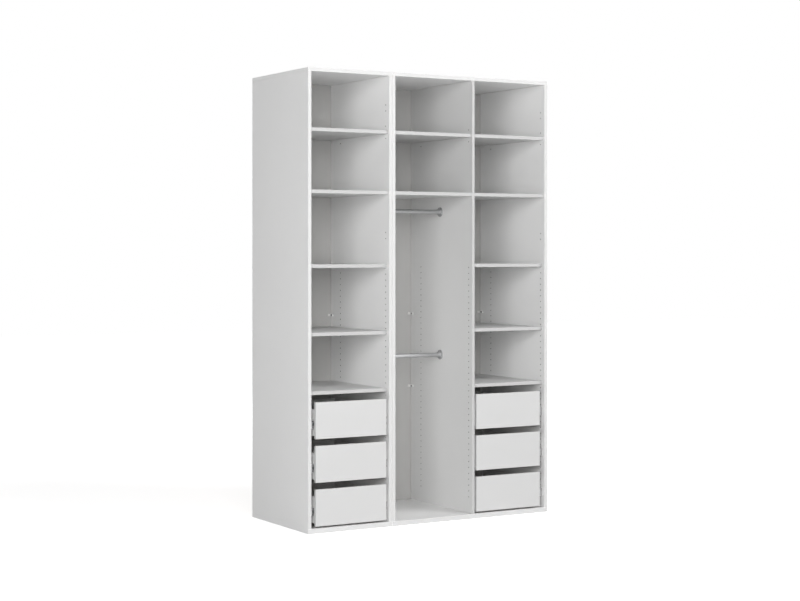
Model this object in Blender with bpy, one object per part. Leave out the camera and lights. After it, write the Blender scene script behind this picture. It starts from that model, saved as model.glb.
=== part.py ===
"""Open wardrobe body of white coated board, free-standing.

A narrow carcass with one bay stands beside a wide carcass with two bays. The outer bays hold shelves over
three drawers each, and the middle bay holds two shelves and two hanging rods.
The origin is on the floor under the middle of the body, the front faces -Y, and sizes are in metres.
"""
import math

import bmesh
import bpy
from mathutils import Matrix, Vector

# Carcasses
CARCASS_HEIGHT = 2.395
CARCASS_DEPTH = 0.660
NARROW_WIDTH = 0.500
WIDE_WIDTH = 1.000

# Boards
SIDE_THICKNESS = 0.019
TOP_THICKNESS = 0.019
BASE_THICKNESS = 0.025
PARTITION_THICKNESS = 0.016
PARTITION_SETBACK = 0.002
SHELF_THICKNESS = 0.018
EDGE_CHAMFER = 0.001

# Back panels, let into grooves
BACK_THICKNESS = 0.004
BACK_INSET = 0.006
GROOVE_DEPTH = 0.008

# Clearances
FIT = 0.0003
CUT_MARGIN = 0.002
MERGE_DISTANCE = 0.000003

# Shelves: set back from the carcass front, and clear heights between them
TOP_SHELF_SETBACK = 0.013
FIXED_SHELF_SETBACK = 0.007
LOOSE_SHELF_SETBACK = 0.024
SHELF_REAR_GAP = 0.0008
TOP_COMPARTMENT = 0.288
SECOND_COMPARTMENT = 0.302
LOWER_COMPARTMENT = 0.275
MIDDLE_COMPARTMENT = 0.330

# Bored holes for shelf pins and hinge plates
HOLE_DIAMETER = 0.005
HOLE_DEPTH = 0.012
HOLE_PITCH = 0.032
HOLE_SIDES = 6
ROW_START = 0.089
FRONT_ROW_SETBACK = 0.037
REAR_ROW_INSET = 0.123
HINGE_INSET = 0.187
HINGE_SPACING = 0.674

# Hanging rods
ROD_DIAMETER = 0.025
ROD_WALL = 0.001
ROD_SEGMENTS = 20
UPPER_ROD_DROP = 0.080
ROD_SPACING = 0.797
SOCKET_DIAMETER = 0.054
SOCKET_PLATE = 0.004
SOCKET_RIM = 0.0015
SOCKET_CUP_WALL = 0.003
SOCKET_CUP_DEPTH = 0.014

# Drawers
DRAWERS_PER_BAY = 3
DRAWER_FLOOR_GAP = 0.0095
DRAWER_GAP = 0.0345
DRAWER_TOP_GAP = 0.0365
DRAWER_FRONT_HEIGHT = 0.190
DRAWER_FRONT_THICKNESS = 0.016
DRAWER_FRONT_SETBACK = 0.005
BOX_RISE = 0.015
BOX_HEIGHT = 0.137
BOX_WALL = 0.012
BOTTOM_RISE = 0.010
BOTTOM_THICKNESS = 0.004
BOTTOM_GROOVE = 0.006

# Ball-bearing runners
RUNNER_HEIGHT = 0.045
RUNNER_SPACE = 0.0135
RUNNER_RISE = 0.075
RUNNER_STEP = 0.050
RUNNER_SETBACK = 0.001
RUNNER_REAR_CLEARANCE = 0.060
RUNNER_STEEL = 0.0014
RUNNER_BEND = 0.0015
FLANGE_REACH = 0.0105
RAIL_HEIGHT = 0.020
RAIL_FLANGE_GAP = 0.0035
BALL_STRIP_START = 0.004
BALL_STRIP_END = 0.009
RAIL_WELD = 0.0005
SPACER_THICKNESS = 0.014
SPACER_HEIGHT = 0.044

# Places that follow from the sizes above
FRONT = -CARCASS_DEPTH / 2
BACK = CARCASS_DEPTH / 2
LEFT = -(NARROW_WIDTH + WIDE_WIDTH) / 2
RIGHT = LEFT + NARROW_WIDTH + WIDE_WIDTH
SEAM = LEFT + NARROW_WIDTH
FLOOR = BASE_THICKNESS
CEILING = CARCASS_HEIGHT - TOP_THICKNESS
BACK_REAR_FACE = BACK - BACK_INSET
BACK_FRONT_FACE = BACK_REAR_FACE - BACK_THICKNESS
TONGUE = GROOVE_DEPTH - FIT

NARROW = (LEFT, SEAM - FIT / 2)
WIDE = (SEAM + FIT / 2, RIGHT)
LEFT_BAY = (NARROW[0] + SIDE_THICKNESS, NARROW[1] - SIDE_THICKNESS)
RIGHT_BAY = (WIDE[1] - SIDE_THICKNESS - (LEFT_BAY[1] - LEFT_BAY[0]), WIDE[1] - SIDE_THICKNESS)
PARTITION = (RIGHT_BAY[0] - PARTITION_THICKNESS, RIGHT_BAY[0])
MIDDLE_BAY = (WIDE[0] + SIDE_THICKNESS, PARTITION[0])

DRAWER_PITCH = DRAWER_FRONT_HEIGHT + DRAWER_GAP
FIRST_DRAWER = FLOOR + DRAWER_FLOOR_GAP
DRAWER_STACK_TOP = FIRST_DRAWER + DRAWERS_PER_BAY * DRAWER_PITCH - DRAWER_GAP
FIRST_HOLE = FLOOR + ROW_START


def hole_at_or_above(height):
    """Number of the first pin hole whose pin carries a shelf at this height or higher."""
    return math.ceil((height - HOLE_DIAMETER / 2 - FIRST_HOLE) / HOLE_PITCH)


def shelf_on_hole(number):
    """Height of the underside of a shelf that lies on the pins of this hole."""
    return FIRST_HOLE + number * HOLE_PITCH + HOLE_DIAMETER / 2


DRAWER_SHELF = DRAWER_STACK_TOP + DRAWER_TOP_GAP
LOWER_HOLE = hole_at_or_above(DRAWER_SHELF + SHELF_THICKNESS + LOWER_COMPARTMENT)
LOWER_SHELF = shelf_on_hole(LOWER_HOLE)
UPPER_HOLE = hole_at_or_above(LOWER_SHELF + SHELF_THICKNESS + MIDDLE_COMPARTMENT)
UPPER_SHELF = shelf_on_hole(UPPER_HOLE)
TOP_SHELF = CEILING - TOP_COMPARTMENT - SHELF_THICKNESS
FIXED_SHELF = TOP_SHELF - SECOND_COMPARTMENT - SHELF_THICKNESS
UPPER_ROD = FIXED_SHELF - UPPER_ROD_DROP
LOWER_ROD = UPPER_ROD - ROD_SPACING


def make_material(name, colour, roughness, metallic):
    """A plain Principled material."""
    material = bpy.data.materials.new(name)
    material.use_nodes = True
    shader = material.node_tree.nodes["Principled BSDF"]
    shader.inputs["Base Color"].default_value = (*colour, 1)
    shader.inputs["Roughness"].default_value = roughness
    shader.inputs["Metallic"].default_value = metallic
    material.diffuse_color = (*colour, 1)
    return material


def add_object(name, bm, material, location=(0, 0, 0), parent=None):
    """Turns a mesh that is drawn in world places into a named object with its origin at a location."""
    bmesh.ops.recalc_face_normals(bm, faces=bm.faces)
    bmesh.ops.translate(bm, verts=bm.verts, vec=-Vector(location))
    mesh = bpy.data.meshes.new(name)
    bm.to_mesh(mesh)
    bm.free()
    part = bpy.data.objects.new(name, mesh)
    bpy.context.collection.objects.link(part)
    part.location = location
    if parent:
        part.parent = parent
        part.location = Vector(location) - parent.location
    if material:
        mesh.materials.append(material)
    return part


def box_into(bm, low, high):
    """Adds a closed box between two corners."""
    low, high = Vector(low), Vector(high)
    size = Matrix.Diagonal((*(high - low), 1))
    place = Matrix.Translation((low + high) / 2)
    bmesh.ops.create_cube(bm, size=1, matrix=place @ size)


def prism_into(bm, outline, axis, start, end):
    """Adds a closed prism: an outline in the other two axes, drawn out along one axis."""
    order = {"X": (1, 2), "Y": (0, 2), "Z": (0, 1)}[axis]
    along = "XYZ".index(axis)
    corners = []
    for point in outline:
        place = [start] * 3
        place[order[0]], place[order[1]] = point
        corners.append(bm.verts.new(place))
    face = bm.faces.new(corners)
    drawn = bmesh.ops.extrude_face_region(bm, geom=[face])["geom"]
    travel = [0, 0, 0]
    travel[along] = end - start
    moved = [item for item in drawn if isinstance(item, bmesh.types.BMVert)]
    bmesh.ops.translate(bm, verts=moved, vec=travel)


def turned_into(bm, outline, segments, centre):
    """Adds a closed turned form about X: outline points are (place along X, radius)."""
    corners = [bm.verts.new((x, 0, radius)) for x, radius in outline]
    edges = [bm.edges.new(pair) for pair in zip(corners, corners[1:] + corners[:1])]
    bmesh.ops.spin(bm, geom=corners + edges, cent=(0, 0, 0), axis=(1, 0, 0), angle=2 * math.pi,
                   steps=segments, use_merge=True, use_duplicate=False)
    bmesh.ops.translate(bm, verts=bm.verts, vec=centre)


def long_front_edges(bm):
    """The two edges along the front of a board, above and below its front face."""
    front = min(corner.co.y for corner in bm.verts)
    along = [edge for edge in bm.edges if edge.verts[0].co.x != edge.verts[1].co.x]
    return [edge for edge in along if all(corner.co.y == front for corner in edge.verts)]


def board(name, low, high, material, parent=None, broken="all"):
    """A board with its origin at its middle; all, the long front or none of its edges are lightly broken."""
    bm = bmesh.new()
    box_into(bm, low, high)
    edges = {"all": bm.edges[:], "front": long_front_edges(bm), "none": []}[broken]
    if edges:
        bmesh.ops.bevel(bm, geom=edges, offset=EDGE_CHAMFER, segments=1, affect="EDGES")
    return add_object(name, bm, material, (Vector(low) + Vector(high)) / 2, parent)


def apply_tool(part, tool_mesh, operation):
    """Cuts a hidden tool body out of a part, or joins it on."""
    tool = add_object(f"{part.name}_{operation.lower()}", tool_mesh, None)
    tool.hide_render = True
    tool.display_type = "WIRE"
    modifier = part.modifiers.new(operation.lower(), "BOOLEAN")
    modifier.object = tool
    modifier.operation = operation
    modifier.solver = "EXACT"


def pin_heights(lowest):
    """Heights of the pin holes above a height: one long row, and three about the middle of the top shelf."""
    row = [FIRST_HOLE + number * HOLE_PITCH for number in range(UPPER_HOLE + 1)]
    shelf_middle = TOP_SHELF + SHELF_THICKNESS / 2
    about_shelf = [shelf_middle + step * HOLE_PITCH for step in (-1, 0, 1)]
    return [height for height in row if height > lowest + HOLE_PITCH / 2] + about_shelf


def hinge_heights():
    """Heights of the pairs of holes for hinge plates, down to the end of the long row of pin holes."""
    last_pin = FIRST_HOLE + UPPER_HOLE * HOLE_PITCH
    heights = []
    plate = CARCASS_HEIGHT - HINGE_INSET
    while plate > last_pin + HOLE_PITCH:
        heights += [plate - HOLE_PITCH / 2, plate + HOLE_PITCH / 2]
        plate -= HINGE_SPACING
    return heights


def holes_into(bm, face, depth, rear_lowest, with_hinges):
    """Adds hole tools on a wall at X = face; depth runs into the wall, along X."""
    front_heights = pin_heights(FLOOR)
    if with_hinges:
        front_heights += hinge_heights()
    places = [(FRONT + FRONT_ROW_SETBACK, height) for height in front_heights]
    places += [(BACK - REAR_ROW_INSET, height) for height in pin_heights(rear_lowest)]
    outward = math.copysign(CUT_MARGIN, -depth)
    length = abs(depth - outward)
    turn = Matrix.Rotation(math.pi / 2, 4, "Y")
    for depth_place, height in places:
        centre = Matrix.Translation((face + (depth + outward) / 2, depth_place, height))
        bmesh.ops.create_cone(bm, cap_ends=True, segments=HOLE_SIDES, radius1=HOLE_DIAMETER / 2,
                              radius2=HOLE_DIAMETER / 2, depth=length, matrix=centre @ turn)


def carcass_side(name, outer, inner, rear_lowest):
    """A side board with a back groove and hole rows on its inner face; the rear row starts above a height."""
    low_x, high_x = min(outer, inner), max(outer, inner)
    side = board(name, (low_x, FRONT, FLOOR + FIT), (high_x, BACK, CEILING - FIT), WHITE_BOARD)
    into_wall = math.copysign(1, outer - inner)
    tools = bmesh.new()
    groove = (inner + into_wall * GROOVE_DEPTH, inner - into_wall * CUT_MARGIN)
    box_into(tools, (min(groove), BACK_FRONT_FACE - FIT, FLOOR - CUT_MARGIN),
             (max(groove), BACK_REAR_FACE + FIT, CEILING + CUT_MARGIN))
    holes_into(tools, inner, into_wall * HOLE_DEPTH, rear_lowest, True)
    apply_tool(side, tools, "DIFFERENCE")


def carcass_shell(name, span, left_rear_lowest, right_rear_lowest):
    """Top, base and both sides of one carcass; the top and base lie over the sides' ends."""
    left_inner, right_inner = span[0] + SIDE_THICKNESS, span[1] - SIDE_THICKNESS
    groove_left, groove_right = left_inner - GROOVE_DEPTH, right_inner + GROOVE_DEPTH
    levels = {"top": (CEILING, CARCASS_HEIGHT, CEILING - CUT_MARGIN, CEILING + GROOVE_DEPTH),
              "base": (0, FLOOR, FLOOR - GROOVE_DEPTH, FLOOR + CUT_MARGIN)}
    for level, (low, high, groove_low, groove_high) in levels.items():
        panel = board(f"{name}_{level}", (span[0], FRONT, low), (span[1], BACK, high), WHITE_BOARD)
        tools = bmesh.new()
        box_into(tools, (groove_left, BACK_FRONT_FACE - FIT, groove_low),
                 (groove_right, BACK_REAR_FACE + FIT, groove_high))
        apply_tool(panel, tools, "DIFFERENCE")
    carcass_side(f"{name}_left_side", span[0], left_inner, left_rear_lowest)
    carcass_side(f"{name}_right_side", span[1], right_inner, right_rear_lowest)


def back_panel(name, left, right):
    """A thin back between its two edges, standing in the grooves of the top and base."""
    board(name, (left, BACK_FRONT_FACE, FLOOR - TONGUE), (right, BACK_REAR_FACE, CEILING + TONGUE),
          BACK_BOARD, broken="none")


def middle_partition():
    """The upright between the middle and right bays, with holes right through it."""
    part = board("partition", (PARTITION[0], FRONT + PARTITION_SETBACK, FLOOR + FIT),
                 (PARTITION[1], BACK_FRONT_FACE - FIT, CEILING - FIT), WHITE_BOARD)
    tools = bmesh.new()
    holes_into(tools, PARTITION[0], PARTITION_THICKNESS + CUT_MARGIN, FLOOR, False)
    apply_tool(part, tools, "DIFFERENCE")


def shelf(name, bay, underside, setback):
    """A shelf between the walls of a bay."""
    rear = BACK_FRONT_FACE - SHELF_REAR_GAP
    board(name, (bay[0] + FIT, FRONT + setback, underside), (bay[1] - FIT, rear, underside + SHELF_THICKNESS),
          WHITE_BOARD, broken="front")


def hanging_rod(name, height):
    """A tube across the middle bay, held at both ends in a cup on a round plate."""
    outer = ROD_DIAMETER / 2
    inner = outer - ROD_WALL
    middle = (0, 0, height)
    tube = bmesh.new()
    left_end = MIDDLE_BAY[0] + FIT + SOCKET_PLATE + FIT
    right_end = MIDDLE_BAY[1] - FIT - SOCKET_PLATE - FIT
    turned_into(tube, [(left_end, outer), (right_end, outer), (right_end, inner), (left_end, inner)],
                ROD_SEGMENTS, middle)
    add_object(name, tube, CHROME, ((left_end + right_end) / 2, 0, height))
    for side, wall, inward in (("left", MIDDLE_BAY[0], 1), ("right", MIDDLE_BAY[1], -1)):
        rim = SOCKET_DIAMETER / 2
        bore = outer + FIT
        cup = bore + SOCKET_CUP_WALL
        bore_floor = SOCKET_PLATE
        mouth = bore_floor + SOCKET_CUP_DEPTH
        steps = [(0, 0), (0, rim - SOCKET_RIM), (SOCKET_RIM, rim), (SOCKET_PLATE - SOCKET_RIM, rim),
                 (SOCKET_PLATE, rim - SOCKET_RIM), (SOCKET_PLATE, cup), (mouth - SOCKET_RIM, cup),
                 (mouth, cup - SOCKET_RIM), (mouth, bore), (bore_floor, bore), (bore_floor, 0)]
        outline = [(wall + inward * (FIT + along), radius) for along, radius in steps]
        socket = bmesh.new()
        turned_into(socket, outline, ROD_SEGMENTS, middle)
        bmesh.ops.remove_doubles(socket, verts=socket.verts, dist=MERGE_DISTANCE)
        bmesh.ops.dissolve_degenerate(socket, edges=socket.edges, dist=MERGE_DISTANCE)
        add_object(f"{name}_{side}_socket", socket, CHROME, (wall + inward * FIT, 0, height))


def mirrored(outline, wall, inward):
    """Places an outline of (distance from a wall, height) against a wall that faces along X."""
    return [(wall + inward * distance, height) for distance, height in outline]


def runner_outline(centre, spacer):
    """Section of the fixed rail: a bent channel with two ball strips, with a distance piece behind it."""
    half = RUNNER_HEIGHT / 2
    inside = half - RUNNER_STEEL
    outer_bend = RUNNER_BEND + RUNNER_STEEL
    strip = RAIL_HEIGHT / 2 + FIT
    web = spacer + FIT
    face = web + RUNNER_STEEL
    upper = [(face, inside - RUNNER_BEND), (face + RUNNER_BEND, inside), (web + BALL_STRIP_START, inside),
             (web + BALL_STRIP_START, strip), (web + BALL_STRIP_END, strip), (web + BALL_STRIP_END, inside),
             (web + FLANGE_REACH, inside), (web + FLANGE_REACH, half), (web + outer_bend, half),
             (web, half - outer_bend)]
    if spacer:
        upper += [(web, SPACER_HEIGHT / 2), (FIT, SPACER_HEIGHT / 2)]
    lower = [(distance, -height) for distance, height in reversed(upper)]
    return [(distance, centre + height) for distance, height in upper + lower]


def rail_outline(centre, spacer):
    """Section of the rail on the drawer: a bent channel that opens towards the wall."""
    half = RAIL_HEIGHT / 2
    inside = half - RUNNER_STEEL
    outer_bend = RUNNER_BEND + RUNNER_STEEL
    tip = spacer + FIT + RAIL_FLANGE_GAP
    seat = spacer + RUNNER_SPACE
    face = seat - RUNNER_STEEL
    upper = [(face, inside - RUNNER_BEND), (face - RUNNER_BEND, inside), (tip, inside), (tip, half),
             (seat - outer_bend, half), (seat, half - outer_bend), (seat + RAIL_WELD, half - outer_bend)]
    lower = [(distance, -height) for distance, height in reversed(upper)]
    return [(distance, centre + height) for distance, height in upper + lower]


def drawer(name, bay, bottom, hinge_side):
    """One drawer: front, box with its rails, bottom, and the two runners that carry it."""
    spacers = {side: SPACER_THICKNESS if side == hinge_side else 0 for side in ("left", "right")}
    left = bay[0] + spacers["left"] + RUNNER_SPACE
    right = bay[1] - spacers["right"] - RUNNER_SPACE
    runner_middle = bottom + RUNNER_RISE
    front_face = FRONT + DRAWER_FRONT_SETBACK
    front_back = front_face + DRAWER_FRONT_THICKNESS
    runner_start = front_back + RUNNER_SETBACK
    usable = BACK_FRONT_FACE - RUNNER_REAR_CLEARANCE - runner_start
    runner_end = runner_start + math.floor(usable / RUNNER_STEP) * RUNNER_STEP
    box_low = bottom + BOX_RISE
    box_start = front_back + FIT

    slide = bpy.data.objects.new(f"{name}_slide", None)
    slide.location = ((left + right) / 2, front_face, runner_middle)
    bpy.context.collection.objects.link(slide)

    panel_low = box_low + BOTTOM_RISE
    inner_left, inner_right, inner_back = left + BOX_WALL, right - BOX_WALL, runner_end - BOX_WALL
    panel_high = panel_low + BOTTOM_THICKNESS
    groove_low = (inner_left - BOTTOM_GROOVE, front_back - BOTTOM_GROOVE, panel_low - FIT)
    groove_high = (inner_right + BOTTOM_GROOVE, inner_back + BOTTOM_GROOVE, panel_high + FIT)

    front_top = bottom + DRAWER_FRONT_HEIGHT
    front_low, front_high = (left, front_face, bottom), (right, front_back, front_top)
    front = board(f"{name}_front", front_low, front_high, WHITE_BOARD, slide)
    front_groove = bmesh.new()
    box_into(front_groove, groove_low, (groove_high[0], front_back + CUT_MARGIN, groove_high[2]))
    apply_tool(front, front_groove, "DIFFERENCE")

    walls = bmesh.new()
    plan = [(left, box_start), (inner_left, box_start), (inner_left, inner_back), (inner_right, inner_back),
            (inner_right, box_start), (right, box_start), (right, runner_end), (left, runner_end)]
    prism_into(walls, plan, "Z", box_low, box_low + BOX_HEIGHT)
    box = add_object(f"{name}_box", walls, DRAWER_BOARD, slide.location, slide)
    box_groove = bmesh.new()
    box_into(box_groove, (groove_low[0], box_start - CUT_MARGIN, groove_low[2]), groove_high)
    apply_tool(box, box_groove, "DIFFERENCE")
    rails = bmesh.new()
    for wall, inward, side in ((bay[0], 1, "left"), (bay[1], -1, "right")):
        outline = mirrored(rail_outline(runner_middle, spacers[side]), wall, inward)
        prism_into(rails, outline, "Y", runner_start, runner_end - RUNNER_SETBACK)
    apply_tool(box, rails, "UNION")

    inset = Vector((FIT, FIT, FIT))
    bottom_low, bottom_high = Vector(groove_low) + inset, Vector(groove_high) - inset
    board(f"{name}_bottom", bottom_low, bottom_high, BACK_BOARD, slide, broken="none")

    for wall, inward, side in ((bay[0], 1, "left"), (bay[1], -1, "right")):
        channel = bmesh.new()
        outline = mirrored(runner_outline(runner_middle, spacers[side]), wall, inward)
        prism_into(channel, outline, "Y", runner_start, runner_end)
        add_object(f"{name}_{side}_runner", channel, ZINC_STEEL, (wall, runner_start, runner_middle))


for item in list(bpy.data.objects):
    bpy.data.objects.remove(item, do_unlink=True)

WHITE_BOARD = make_material("white_board", (0.83, 0.83, 0.82), 0.45, 0)
BACK_BOARD = make_material("back_board", (0.56, 0.56, 0.55), 0.55, 0)
DRAWER_BOARD = make_material("drawer_board", (0.60, 0.60, 0.59), 0.5, 0)
CHROME = make_material("chrome", (0.75, 0.75, 0.76), 0.12, 1)
ZINC_STEEL = make_material("zinc_steel", (0.62, 0.63, 0.64), 0.35, 1)

SHELF_TOP_OVER_DRAWERS = DRAWER_SHELF + SHELF_THICKNESS
carcass_shell("narrow", NARROW, SHELF_TOP_OVER_DRAWERS, SHELF_TOP_OVER_DRAWERS)
carcass_shell("wide", WIDE, FLOOR, SHELF_TOP_OVER_DRAWERS)
middle_partition()
back_seam = (PARTITION[0] + PARTITION[1]) / 2
back_panel("narrow_back", LEFT_BAY[0] - TONGUE, LEFT_BAY[1] + TONGUE)
back_panel("wide_left_back", MIDDLE_BAY[0] - TONGUE, back_seam - FIT / 2)
back_panel("wide_right_back", back_seam + FIT / 2, RIGHT_BAY[1] + TONGUE)

for bay_name, bay in (("left", LEFT_BAY), ("middle", MIDDLE_BAY), ("right", RIGHT_BAY)):
    shelf(f"{bay_name}_top_shelf", bay, TOP_SHELF, TOP_SHELF_SETBACK)
    shelf(f"{bay_name}_fixed_shelf", bay, FIXED_SHELF, FIXED_SHELF_SETBACK)

for bay_name, bay, hinge_side in (("left", LEFT_BAY, "left"), ("right", RIGHT_BAY, "right")):
    shelf(f"{bay_name}_upper_shelf", bay, UPPER_SHELF, LOOSE_SHELF_SETBACK)
    shelf(f"{bay_name}_lower_shelf", bay, LOWER_SHELF, LOOSE_SHELF_SETBACK)
    shelf(f"{bay_name}_drawer_shelf", bay, DRAWER_SHELF, LOOSE_SHELF_SETBACK)
    for level in range(DRAWERS_PER_BAY):
        drawer(f"{bay_name}_drawer_{level + 1}", bay, FIRST_DRAWER + level * DRAWER_PITCH, hinge_side)

hanging_rod("upper_rod", UPPER_ROD)
hanging_rod("lower_rod", LOWER_ROD)
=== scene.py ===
"""Looks of an open white wardrobe body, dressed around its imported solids.

The camera stands where the photograph was taken from. Boards get a coated finish, and what the solids keep
simple is built again: boards with round holes, folded steel rails, turned fittings and small moulded pieces.
Sizes are in metres, +Z is up and the front faces -Y.
"""
import math

import bmesh
import bpy
from mathutils import Matrix, Vector


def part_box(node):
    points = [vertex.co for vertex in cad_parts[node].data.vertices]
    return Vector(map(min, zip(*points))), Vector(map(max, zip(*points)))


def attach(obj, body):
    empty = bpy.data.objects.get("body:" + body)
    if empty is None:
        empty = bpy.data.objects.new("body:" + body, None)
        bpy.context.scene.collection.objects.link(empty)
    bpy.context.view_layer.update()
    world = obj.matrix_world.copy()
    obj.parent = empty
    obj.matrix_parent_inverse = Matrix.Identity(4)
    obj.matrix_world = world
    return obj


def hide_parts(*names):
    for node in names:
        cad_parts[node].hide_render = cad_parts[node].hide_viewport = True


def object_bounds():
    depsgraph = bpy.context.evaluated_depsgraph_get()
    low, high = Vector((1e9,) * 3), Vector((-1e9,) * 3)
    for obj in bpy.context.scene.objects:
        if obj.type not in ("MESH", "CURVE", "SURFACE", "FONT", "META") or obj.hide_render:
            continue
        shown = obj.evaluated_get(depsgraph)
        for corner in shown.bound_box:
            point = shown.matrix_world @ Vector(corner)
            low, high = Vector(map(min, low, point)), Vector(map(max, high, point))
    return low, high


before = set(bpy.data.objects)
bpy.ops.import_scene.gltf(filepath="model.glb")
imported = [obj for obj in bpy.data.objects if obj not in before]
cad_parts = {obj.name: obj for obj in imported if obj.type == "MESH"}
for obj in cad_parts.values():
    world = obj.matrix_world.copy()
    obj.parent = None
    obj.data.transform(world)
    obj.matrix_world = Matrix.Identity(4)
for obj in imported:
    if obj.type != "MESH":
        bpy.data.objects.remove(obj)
CAD_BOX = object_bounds()

# Camera: its place, its turn to the right, and the picture's focal length, centre and horizon in pixels
CAMERA_PLACE = (-4.757, -8.022, 1.448)
CAMERA_TURN = 30.556
PICTURE_WIDTH = 800
PICTURE_HEIGHT = 601
FOCAL_PIXELS = 1690.98
CENTRE_PIXEL = 397.97
HORIZON_PIXEL = 251.75
SENSOR_WIDTH = 36

# Floor and surround
FLOOR_SIZE = 40
FLOOR_DROP = 0.0005
FLOOR_COLOUR = (0.80, 0.80, 0.80)
FLOOR_ROUGHNESS = 0.9
FLOOR_LIFT = 0.74
FLOOR_NEAR = 2.5
FLOOR_FAR = 7.0
DOME_STRENGTH = 0.01

# Lamps: what they look at, and the place, size and power of each
LAMP_AIM = (0, 0, 1.2)
KEY_PLACE = (-4.7, -6.6, 2.5)
KEY_SIZE = (5.8, 3.8)
KEY_POWER = 485
FRONT_PLACE = (7.9, -11.0, 7.6)
FRONT_SIZE = (7.7, 5.5)
FRONT_POWER = 1370
SIDE_PLACE = (-5.0, 2.5, 1.8)
SIDE_SIZE = (1.5, 1.5)
SIDE_POWER = 18
REAR_PLACE = (3.5, 6.0, 3.0)
REAR_SIZE = (3.0, 3.0)
REAR_POWER = 150

# Colours
CARCASS_WHITE = (0.870, 0.870, 0.867)
# painted shade: the front-facing faces of the outer boards are coloured darker than their other faces,
# against the strong front light
CARCASS_FRONT_SHADE = (0.622, 0.622, 0.619)
INNER_WHITE = (0.672, 0.672, 0.669)
SHELF_WHITE = (0.605, 0.605, 0.602)
# painted shade: the same darker colour on the front-facing faces of the shelves and inner boards
INNER_FRONT_SHADE = (0.482, 0.482, 0.480)
FRONT_WHITE = (0.572, 0.572, 0.570)
BACK_WHITE = (0.550, 0.546, 0.536)
DRAWER_WHITE = (0.740, 0.740, 0.735)
PLASTIC_WHITE = (0.860, 0.860, 0.850)
# grey of the spacers, and painted shade in the pockets of the corner pieces
PLASTIC_GREY_AND_SHADE = (0.400, 0.400, 0.400)
# black of the ball cages, and painted shade on the pins in the corner pieces
PLASTIC_BLACK_AND_SHADE = (0.022, 0.022, 0.024)
CHROME_GREY = (0.460, 0.463, 0.468)
ZINC_GREY = (0.620, 0.630, 0.640)
CHIP_PALE = (0.560, 0.440, 0.300)
CHIP_DARK = (0.270, 0.190, 0.115)
# painted shade inside the bored holes: near-black chips, much darker than the chipboard
HOLE_SHADE_PALE = (0.070, 0.065, 0.058)
HOLE_SHADE_DARK = (0.025, 0.022, 0.020)
FIBRE_PALE = (0.330, 0.215, 0.125)
FIBRE_DARK = (0.210, 0.128, 0.070)

# Boards and their holes
EDGE_ROUND = 0.0015
ROUND_STEPS = 2
GROOVE_DEPTH = 0.008
GROOVE_PLAY = 0.0003
SHADOW_GAP = 0.0025
SEAM_TRIM = 0.0009
HOLE_RADIUS = 0.0025
HOLE_DEPTH = 0.012
MOUTH_RADIUS = 0.0031
MOUTH_DEPTH = 0.0006
HOLE_SEGMENTS = 16
HOLE_PITCH = 0.032
ROW_START = 0.089
FRONT_ROW_SETBACK = 0.037
REAR_ROW_INSET = 0.123
HINGE_INSET = 0.187
HINGE_SPACING = 0.674

# Turned fittings
TURNED_SEGMENTS = 48
SMOOTH_ANGLE = 25
ROD_WALL = 0.001
SOCKET_PLATE = 0.004
SOCKET_ROUND = 0.0014
SOCKET_EASE = 0.0005
SOCKET_CUP_WALL = 0.003
SOCKET_PLAY = 0.0003
SOCKET_SCREWS = 3
SCREW_RADIUS = 0.0036
SCREW_HEIGHT = 0.0018
SCREW_RECESS = 0.0016
SCREW_SEGMENTS = 20
PIN_RADIUS = 0.00245
PIN_ROOT = 0.011
PIN_REACH = 0.008
PIN_DOME = 0.0012
PIN_SEGMENTS = 20
SHELF_PLAY = 0.0003

# Points on the round of a screw head, its recess and a pin's tip, as shares of its height and of its radius
SCREW_SHOULDER = (0.5, 0.96)
SCREW_CROWN = (0.9, 0.72)
RECESS_FLOOR = (0.4, 0.5)
PIN_CROWN = (0.7, 0.75)

# Drawers and runners
BOX_WALL = 0.012
BOX_ROUND = 0.002
BOTTOM_GROOVE = 0.006
BOTTOM_PLAY = 0.0003
BUTT_PLAY = 0.0001
RUNNER_STEEL = 0.0014
RUNNER_BEND = 0.0022
BEND_STEPS = 4
FLANGE_REACH = 0.0105
LIP_DROP = 0.005
RAIL_HEIGHT = 0.020
RAIL_TIP = 0.0038
RAIL_SETBACK = 0.001
RUNNER_SPACE = 0.0135
SPACER_HEIGHT = 0.044
SPACER_ROUND = 0.0015
SPACER_PLAY = 0.0003
BALL_RADIUS = 0.0028
BALL_PITCH = 0.018
BALL_RINGS = 8
CAGE_GAP = 0.0006
CAGE_WIDTH = 0.0070
CAGE_HEIGHT = 0.0098
CAGE_FIRST = 0.0064
CAGE_COUNT = 12
RUNNER_SCREW_STEP = 0.256
RUNNER_SCREWS = 3

# Small moulded corner pieces that hold the back
CORNER_BACK_LEG = 0.019
CORNER_WALL_LEG = 0.030
CORNER_THICKNESS = 0.007
CORNER_HEIGHT = 0.013
CORNER_ROUND = 0.001
POCKET_RIM = 0.002
POCKET_DRAFT = 0.0004
POCKET_DEPTH = 0.005
CORNER_LEVELS = {"left": (1.094,), "middle": (0.678, 1.094), "right": (1.094,)}

# Degrees within which a surface faces along a direction, for a finish and for a flat face of a mesh
FACING_ANGLE = 30
FLAT_ANGLE = 8

# A corner this near to a plane lies in it, and a face this small is empty
SAME_PLANE = 1e-6
SLIVER_AREA = 1e-8

# Noise values mostly lie in this band
NOISE_LOW = 0.3
NOISE_HIGH = 0.7

# Places of the colour sockets on a mix node
MIX_A = 6
MIX_B = 7
MIX_RESULT = 2


# Node helpers

def new_surface(name, metallic=0.0):
    """A new material with its node tree and shader."""
    material = bpy.data.materials.new(name)
    material.use_nodes = True
    shader = material.node_tree.nodes["Principled BSDF"]
    shader.inputs["Metallic"].default_value = metallic
    return material, material.node_tree, shader


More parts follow.
